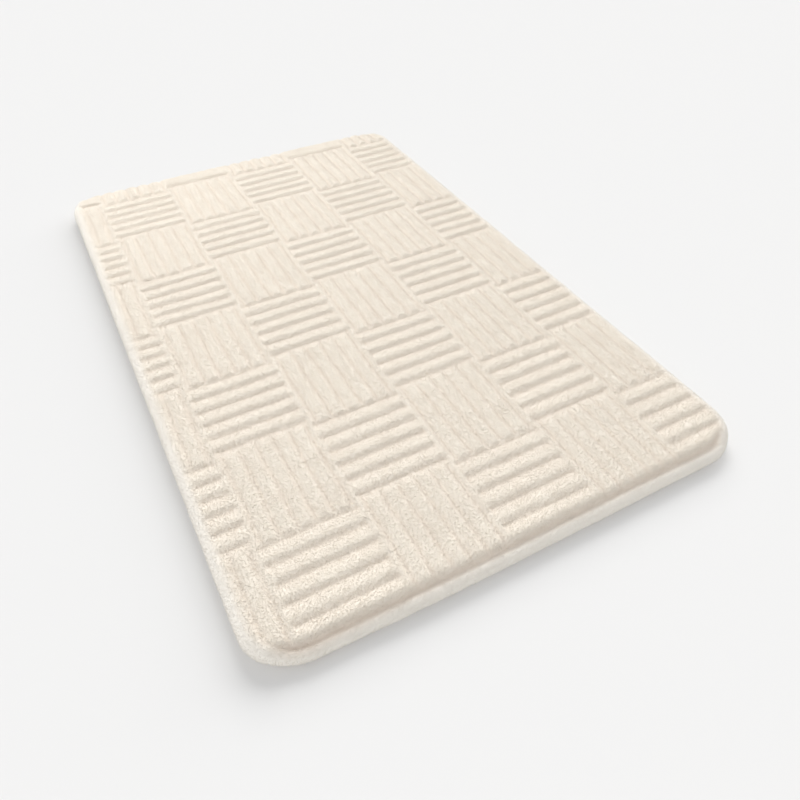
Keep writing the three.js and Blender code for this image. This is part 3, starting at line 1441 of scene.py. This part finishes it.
@dataclass
class GripBacking:
    """The knitted backing and its moulded grip dots.

    Attributes:
        plan: The mat's outline.
        dot_pitch: Between neighbouring dots.
        dot_radius: A dot's radius.
        dot_height: How far a dot stands below the cloth.
        dot_facets: A dot's upright faces and its level ones.
        dot_sizes: The smallest and the largest dot, as shares of its radius and height.
        seam_inset: Outline to the seam, which the dots stay clear of.
        seam_room: Seam to the first dots.
        label_room: Label to the nearest dots.
        seed: For the dots' sizes.
    """

    plan: Plan
    dot_pitch: float = 10.0 * MM
    dot_radius: float = 1.7 * MM
    dot_height: float = 0.6 * MM
    dot_facets: Tuple[int, int] = (10, 3)
    dot_sizes: Tuple[float, float] = (0.94, 1.0)
    seam_inset: float = 14.0 * MM
    seam_room: float = 5.0 * MM
    label_room: float = 2.5 * MM
    seed: int = 3

    def cloth(self) -> FlatLayer:
        """The backing cloth's layer."""
        return FlatLayer(
            self.plan, "grip_backing", "backing_cloth", 0.08 * MM,
            step=6.0 * MM, edge_round=0.45 * MM, bottom=self.dot_height,
        )

    def dot_points(self) -> np.ndarray:
        """Places for the dots, in staggered rows inside the seam and clear of the label.

        Returns:
            Their middles.
        """
        row_pitch = self.dot_pitch * math.sqrt(3.0) / 2.0
        inset = self.seam_inset + self.seam_room
        reach = np.array([self.plan.half_x - inset, self.plan.half_y - inset])
        radius = self.plan.corner - inset
        rows, columns = int(reach[1] // row_pitch), int(reach[0] // self.dot_pitch) + 1
        points = np.array([
            ((i + 0.5 * (j % 2)) * self.dot_pitch, j * row_pitch)
            for j in range(-rows, rows + 1)
            for i in range(-columns, columns + 1)
        ])
        past = np.maximum(np.abs(points) - (reach - radius), 0.0)
        inside = np.hypot(*past.T) <= radius
        low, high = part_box("care_label")
        room = self.label_room + self.dot_radius
        middle, half = np.array((low + high) / 2.0)[:2], np.array((high - low) / 2.0)[:2]
        by_label = (np.abs(points - middle) < half + room).all(axis=1)
        kept = points[inside & ~by_label]
        return np.column_stack([kept, np.full(len(kept), self.dot_height)])

    def dots(self, material: bpy.types.Material) -> bpy.types.Object:
        """Sets a flat dome on each place.

        Args:
            material: The dots' material.

        Returns:
            One object that holds them all.
        """
        tree = PieceTree("mould_dots", "Radius", "Height", "Seed")
        given = tree.given
        size = tree.xyz(X=given["Radius"], Y=given["Radius"], Z=given["Height"])
        dome = tree.ball(*self.dot_facets, size)
        tree.close(tree.set_out(given["Geometry"], dome, Scale=tree.chance(*self.dot_sizes)))
        values = {"Radius": self.dot_radius, "Height": self.dot_height, "Seed": self.seed}
        made = mesh_object("grip_dots", self.dot_points(), [])
        return tree.run(made, {**values, "Material": material})


@dataclass
class Stitching:
    """The lockstitch seam round the backing and the overlock on the hem's raw edge.

    Attributes:
        plan: The mat's outline.
        stitch: The length of one lockstitch.
        stitch_gap: Between two of them.
        stitch_facets: A stitch's lengthwise faces and its crosswise ones.
        seam_thread: The seam thread's radius.
        overlock_width: Width of the overlock.
        overlock_pitch: Between the overlock's turns.
        overlock_thread: Its thread's radius.
        overlock_sides: The thread's flat sides.
        steps_in_turn: Points in one of its turns.
    """

    plan: Plan
    stitch: float = 3.4 * MM
    stitch_gap: float = 0.5 * MM
    stitch_facets: Tuple[int, int] = (7, 5)
    seam_thread: float = 0.3 * MM
    overlock_width: float = 2.0 * MM
    overlock_pitch: float = 2.6 * MM
    overlock_thread: float = 0.22 * MM
    overlock_sides: int = 5
    steps_in_turn: int = 6

    def seam(self, material: bpy.types.Material) -> bpy.types.Object:
        """Lays one plump stitch after another along the seam's line.

        Args:
            material: The thread's material.

        Returns:
            The seam.
        """
        tree = PieceTree("lay_stitches", "Stitch", "Gap", "Thread")
        given = tree.given
        curve = tree.add("GeometryNodeMeshToCurve", {0: given["Geometry"]}).outputs[0]
        pitch = tree.math("ADD", given["Stitch"], given["Gap"])
        line = {"Curve": curve, "Length": pitch}
        spots = tree.add("GeometryNodeCurveToPoints", line, mode="LENGTH").outputs
        half = tree.math("MULTIPLY", given["Stitch"], 0.5)
        size = tree.xyz(X=given["Thread"], Y=given["Thread"], Z=half)
        bead = tree.ball(*self.stitch_facets, size)
        tree.close(tree.set_out(spots["Points"], bead, Rotation=spots["Rotation"]))
        low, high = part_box("perimeter_seam")
        path = self.plan.path("perimeter_seam", (high.z - low.z) / 2.0)
        values = {"Stitch": self.stitch, "Gap": self.stitch_gap, "Thread": self.seam_thread}
        return tree.run(path_object("seam_stitches", path), {**values, "Material": material})

    def overlock_tree(self) -> PieceTree:
        """The tree that winds a thread round a path, as an overlocker does.

        Returns:
            The tree.
        """
        tree = PieceTree("wind_overlock", "Pitch", "Half Width", "Half Height", "Thread")
        given, turns = tree.given, float(self.steps_in_turn)
        curve = tree.add("GeometryNodeMeshToCurve", {0: given["Geometry"]}).outputs[0]
        line = {"Curve": curve, "Length": tree.math("DIVIDE", given["Pitch"], turns)}
        fine = tree.add("GeometryNodeResampleCurve", line, mode="LENGTH").outputs[0]
        number = tree.add("GeometryNodeInputIndex").outputs[0]
        angle = tree.math("MULTIPLY", number, math.tau / turns)
        across = tree.math("MULTIPLY", tree.math("COSINE", angle), given["Half Width"])
        upward = tree.math("MULTIPLY", tree.math("SINE", angle), given["Half Height"])
        tangent = tree.add("GeometryNodeInputTangent").outputs[0]
        square = {0: tangent, 1: (0.0, 0.0, 1.0)}
        sideways = tree.add("ShaderNodeVectorMath", square, operation="CROSS_PRODUCT").outputs[0]
        out = {0: sideways, "Scale": across}
        flat = tree.add("ShaderNodeVectorMath", out, operation="SCALE").outputs[0]
        both = {0: flat, 1: tree.xyz(Z=upward)}
        offset = tree.add("ShaderNodeVectorMath", both, operation="ADD").outputs[0]
        wound = tree.add("GeometryNodeSetPosition", {"Geometry": fine, "Offset": offset})
        round_thread = {"Resolution": self.overlock_sides, "Radius": given["Thread"]}
        profile = tree.add("GeometryNodeCurvePrimitiveCircle", round_thread).outputs["Curve"]
        swept = {"Curve": wound.outputs[0], "Profile Curve": profile}
        tree.close(tree.add("GeometryNodeCurveToMesh", swept).outputs[0])
        return tree

    def overlock(self, material: bpy.types.Material) -> bpy.types.Object:
        """Winds the overlock thread along the hem's raw edge.

        Args:
            material: The thread's material.

        Returns:
            The thread.
        """
        low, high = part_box("hem_overlock")
        values = {
            "Pitch": self.overlock_pitch,
            "Half Width": self.overlock_width / 2.0 - self.overlock_thread,
            "Half Height": (high.z - low.z) / 2.0 - self.overlock_thread,
            "Thread": self.overlock_thread,
            "Material": material,
        }
        path = self.plan.path("hem_overlock", self.overlock_width / 2.0)
        return self.overlock_tree().run(path_object("overlock_thread", path), values)


@dataclass
class CareLabel:
    """A blank woven label, folded once, with both ends in the seam.

    Attributes:
        ply: The label cloth's thickness.
        columns: Points across it.
        rows: Points along each ply.
        fold_turns: Points round the fold, with its ends.
        wave: How far it ripples.
        wave_length: How wide a ripple is.
        calm: Seam to where it ripples in full.
    """

    ply: float = 0.13 * MM
    columns: int = 15
    rows: int = 22
    fold_turns: int = 7
    wave: float = 0.03 * MM
    wave_length: float = 11.0 * MM
    calm: float = 12.0 * MM

    def build(self) -> bpy.types.Object:
        """Makes the folded label.

        Returns:
            One closed strip.
        """
        low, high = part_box("care_label")
        middle = (low.z + high.z) / 2.0
        bend = (high.z - low.z - self.ply) / 2.0 - self.wave
        fold_y = low.y + bend
        runs = np.linspace(high.y, fold_y, self.rows)
        turns = np.radians(np.linspace(90.0, 270.0, self.fold_turns)[1:-1])
        upper = [(y, middle + bend, 0.0, 1.0) for y in runs]
        fold = [
            (fold_y + bend * math.cos(t), middle + bend * math.sin(t), math.cos(t), math.sin(t))
            for t in turns
        ]
        lower = [(y, middle - bend, 0.0, -1.0) for y in runs[::-1]]
        y, z, toward_y, toward_z = np.array(upper + fold + lower).T[:, :, None]
        across = np.linspace(low.x, high.x, self.columns)
        ripple = self.wave * np.sin(across * math.tau / self.wave_length)
        z = z + ripple * smooth_step(high.y, high.y - self.calm, y)
        plies = []
        for half in (self.ply / 2.0, -self.ply / 2.0):
            place = np.broadcast_arrays(across, y + toward_y * half, z + toward_z * half)
            plies.append(np.stack(place, -1).reshape(-1, 3))
        points = np.clip(np.concatenate(plies), np.array(low), np.array(high))
        return mesh_object("care_label_folded", points, self.faces(len(y)))

    def faces(self, lines: int) -> Faces:
        """The strip's faces.

        Args:
            lines: Points along the strip.

        Returns:
            Its outside, its inside and the four edges between them.
        """
        out = np.arange(lines * self.columns).reshape(lines, self.columns)
        back = out + out.size
        return (
            quads(out[1:, :-1], out[1:, 1:], out[:-1, 1:], out[:-1, :-1])
            + quads(back[:-1, :-1], back[:-1, 1:], back[1:, 1:], back[1:, :-1])
            + quads(out[1:, 0], back[1:, 0], back[:-1, 0], out[:-1, 0])
            + quads(out[:-1, -1], back[:-1, -1], back[1:, -1], out[1:, -1])
            + quads(back[0, :-1], back[0, 1:], out[0, 1:], out[0, :-1])
            + quads(out[-1, :-1], out[-1, 1:], back[-1, 1:], back[-1, :-1])
        )


# ---------------------------------------------------------------- the studio


@dataclass(frozen=True)
class Lamp:
    """A distant lamp.

    Attributes:
        name: Its name.
        azimuth: Where it stands round the mat, in degrees from +X towards +Y.
        elevation: How high it stands, in degrees.
        strength: Its irradiance.
        softness: Its width as seen from the mat, in degrees.
        colour: Its colour.
        shadow: Whether it casts one.
    """

    name: str
    azimuth: float
    elevation: float
    strength: float
    softness: float
    colour: Colour = (1.0, 1.0, 1.0)
    shadow: bool = True

    def build(self) -> None:
        """Makes the lamp."""
        data = bpy.data.lights.new(self.name, "SUN")
        data.energy = self.strength
        data.angle = math.radians(self.softness)
        data.color = self.colour
        data.use_shadow = data.cycles.cast_shadow = self.shadow
        made = new_object(self.name, data)
        turn, height = math.radians(self.azimuth), math.radians(self.elevation)
        level = math.cos(height)
        toward = Vector((math.cos(turn) * level, math.sin(turn) * level, math.sin(height)))
        made.rotation_euler = toward.to_track_quat("Z", "Y").to_euler()
        made.location = toward * LAMP_DISTANCE


@dataclass(frozen=True)
class Glow:
    """A broad lamp beyond the mat's far end that lights the mat but not the floor.

    Attributes:
        place: Where it stands.
        width: Its width.
        power: Its power in watts.
    """

    place: Tuple[float, float, float] = (-0.25, 0.68, 0.7)
    width: float = 0.6
    power: float = 3.3

    def build(self, lit: Sequence[bpy.types.Object]) -> None:
        """Makes the lamp.

        Args:
            lit: The objects that it lights.
        """
        data = bpy.data.lights.new("far_glow", "AREA")
        data.energy, data.size = self.power, self.width
        made = new_object("far_glow", data)
        made.location = self.place
        made.rotation_euler = Vector(self.place).to_track_quat("Z", "Y").to_euler()
        receivers = bpy.data.collections.new("lit_by_glow")
        for each in lit:
            receivers.objects.link(each)
        made.light_linking.receiver_collection = receivers


@dataclass
class Studio:
    """The pale floor, the soft light and the camera.

    Attributes:
        floor_colour: The floor's colour.
        floor_size: Its width.
        sky: The strength of the even light from all round.
        camera_place: Where the camera stands.
        camera_turn: Its Euler angles, in degrees.
        lens: Its lens, in mm.
        sensor: Its sensor's width, in mm.
        clip: How near and how far it sees.
        lamps: A soft key from behind on the right, and fills from the left and the near side.
    """

    floor_colour: Colour = (0.797, 0.797, 0.797)
    floor_size: float = 14.0
    sky: float = 0.58
    camera_place: Tuple[float, float, float] = (-0.24917, -0.62248, 0.5048)
    camera_turn: Tuple[float, float, float] = (44.9062, 0.3568, -28.2861)
    lens: float = 30.385
    sensor: float = 36.0
    clip: Tuple[float, float] = (0.01, 50.0)
    lamps: Tuple[Lamp, ...] = (
        Lamp("key", 61.0, 34.0, 1.82, 36.0, (1.0, 0.99, 0.975)),
        Lamp("right_low", 20.0, 18.0, 1.15, 44.0),
        Lamp("left_fill", 166.0, 13.0, 1.2, 40.0, shadow=False),
        Lamp("near_fill", 255.0, 8.0, 0.6, 60.0, shadow=False),
    )

    def floor(self) -> None:
        """Makes the floor, which isn't part of the mat."""
        half = self.floor_size / 2.0
        corners = [(-half, -half, 0.0), (half, -half, 0.0), (half, half, 0.0), (-half, half, 0.0)]
        made = mesh_object("floor", np.array(corners), [(0, 1, 2, 3)])
        paper = Surface("floor_paper")
        paper.set(Base_Color=rgba(self.floor_colour), Roughness=1.0, Specular_IOR_Level=0.0)
        made.data.materials.append(paper.material)

    def camera(self) -> None:
        """Makes the camera."""
        data = bpy.data.cameras.new("camera")
        data.sensor_width, data.lens = self.sensor, self.lens
        data.clip_start, data.clip_end = self.clip
        made = new_object("camera", data)
        made.location = self.camera_place
        made.rotation_euler = Euler([math.radians(a) for a in self.camera_turn], "XYZ")
        bpy.context.scene.camera = made

    def build(self) -> None:
        """Sets up the floor, the camera, the lamps and the sky."""
        self.floor()
        self.camera()
        for lamp in self.lamps:
            lamp.build()
        world = bpy.data.worlds.new("studio")
        world.use_nodes = True
        sky = world.node_tree.nodes["Background"]
        sky.inputs["Color"].default_value = rgba((1.0, 1.0, 1.0))
        sky.inputs["Strength"].default_value = self.sky
        scene = bpy.context.scene
        scene.world = world
        scene.view_settings.view_transform, scene.view_settings.look = "Standard", "None"


# ---------------------------------------------------------------- the whole mat


class Mat:
    """The whole mat: its layers, from the face to the label."""

    def __init__(self) -> None:
        """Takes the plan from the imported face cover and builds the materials."""
        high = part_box("face_cover")[1]
        self.plan = Plan(high.x, high.y, high.z)
        effects = Effects()
        self.materials = {slot: finish.build(effects) for slot, finish in FINISHES.items()}

    def place(self, made: bpy.types.Object, slot: Slot, *nodes: str) -> bpy.types.Object:
        """Dresses a finished piece and ties it to the frame.

        Args:
            made: The piece.
            slot: Its slot in the record.
            nodes: The CAD nodes that it stands for.

        Returns:
            The piece.
        """
        made.data.materials.clear()
        made.data.materials.append(self.materials[slot])
        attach(made, ROOT_BODY)
        if nodes:
            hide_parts(*nodes)
        mesh = made.data
        LOG.info("%s: %d points, %d faces", made.name, len(mesh.vertices), len(mesh.polygons))
        return made

    def face(self) -> List[bpy.types.Object]:
        """Builds the face cover and its pile.

        Returns:
            The cover and the bands of its pile.
        """
        cover = FaceCover(self.plan, BasketWeave(self.plan.half_x, self.plan.half_y)).build()
        pile = Pile(cover, self.plan.half_y)
        bands = pile.build(self.materials[Slot.FACE])
        self.place(cover, Slot.FACE, "face_cover")
        return [cover, *(self.place(band, Slot.FACE) for band in bands)]

    def sheet(self, layer: FlatLayer, slot: Slot, under: str, **more: Any) -> None:
        """Args:
            layer: The layer.
            slot: Its slot in the record.
            under: The piece that it is laid on; not used.
            more: Not used.
        """
        made = self.place(layer.build(), slot, layer.node)
        layer.flat_size()
        layer.flat_area()

    def layers(self) -> None:
        """Builds the foam, the film, the scrim and the backing with its dots."""
        foam = FlatLayer(self.plan, "memory_foam", "foam_slab", 0.25 * MM, edge_round=4.2 * MM)
        self.place(foam.build(), Slot.FOAM, "memory_foam")
        film = FlatLayer(self.plan, "bond_film", "bond_film_sheet", 0.04 * MM, seed=43)
        self.sheet(film, Slot.FILM, "foam_slab")
        scrim = FlatLayer(self.plan, "foam_scrim", "foam_scrim_sheet", 0.05 * MM, seed=47)
        self.sheet(scrim, Slot.SCRIM, "foam_slab")
        backing = GripBacking(self.plan)
        dots = self.place(backing.dots(self.materials[Slot.DOTS]), Slot.DOTS)
        self.sheet(backing.cloth(), Slot.BACKING, "face_cover_plush", with_pieces=[dots])

    def sewing(self) -> None:
        """Builds the seam, the overlock and the care label."""
        stitching, thread = Stitching(self.plan), self.materials[Slot.THREAD]
        self.place(stitching.seam(thread), Slot.THREAD, "perimeter_seam")
        self.place(stitching.overlock(thread), Slot.THREAD, "hem_overlock")
        label = self.place(CareLabel().build(), Slot.LABEL, "care_label")


def main() -> None:
    """Builds the studio and the mat, and reports each piece."""
    logging.basicConfig(level=logging.INFO, format="%(name)s %(message)s")
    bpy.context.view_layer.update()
    Studio().build()
    mat = Mat()
    lit = mat.face()
    mat.layers()
    mat.sewing()
    Glow().build(lit)


if __name__ == "__main__":
    main()
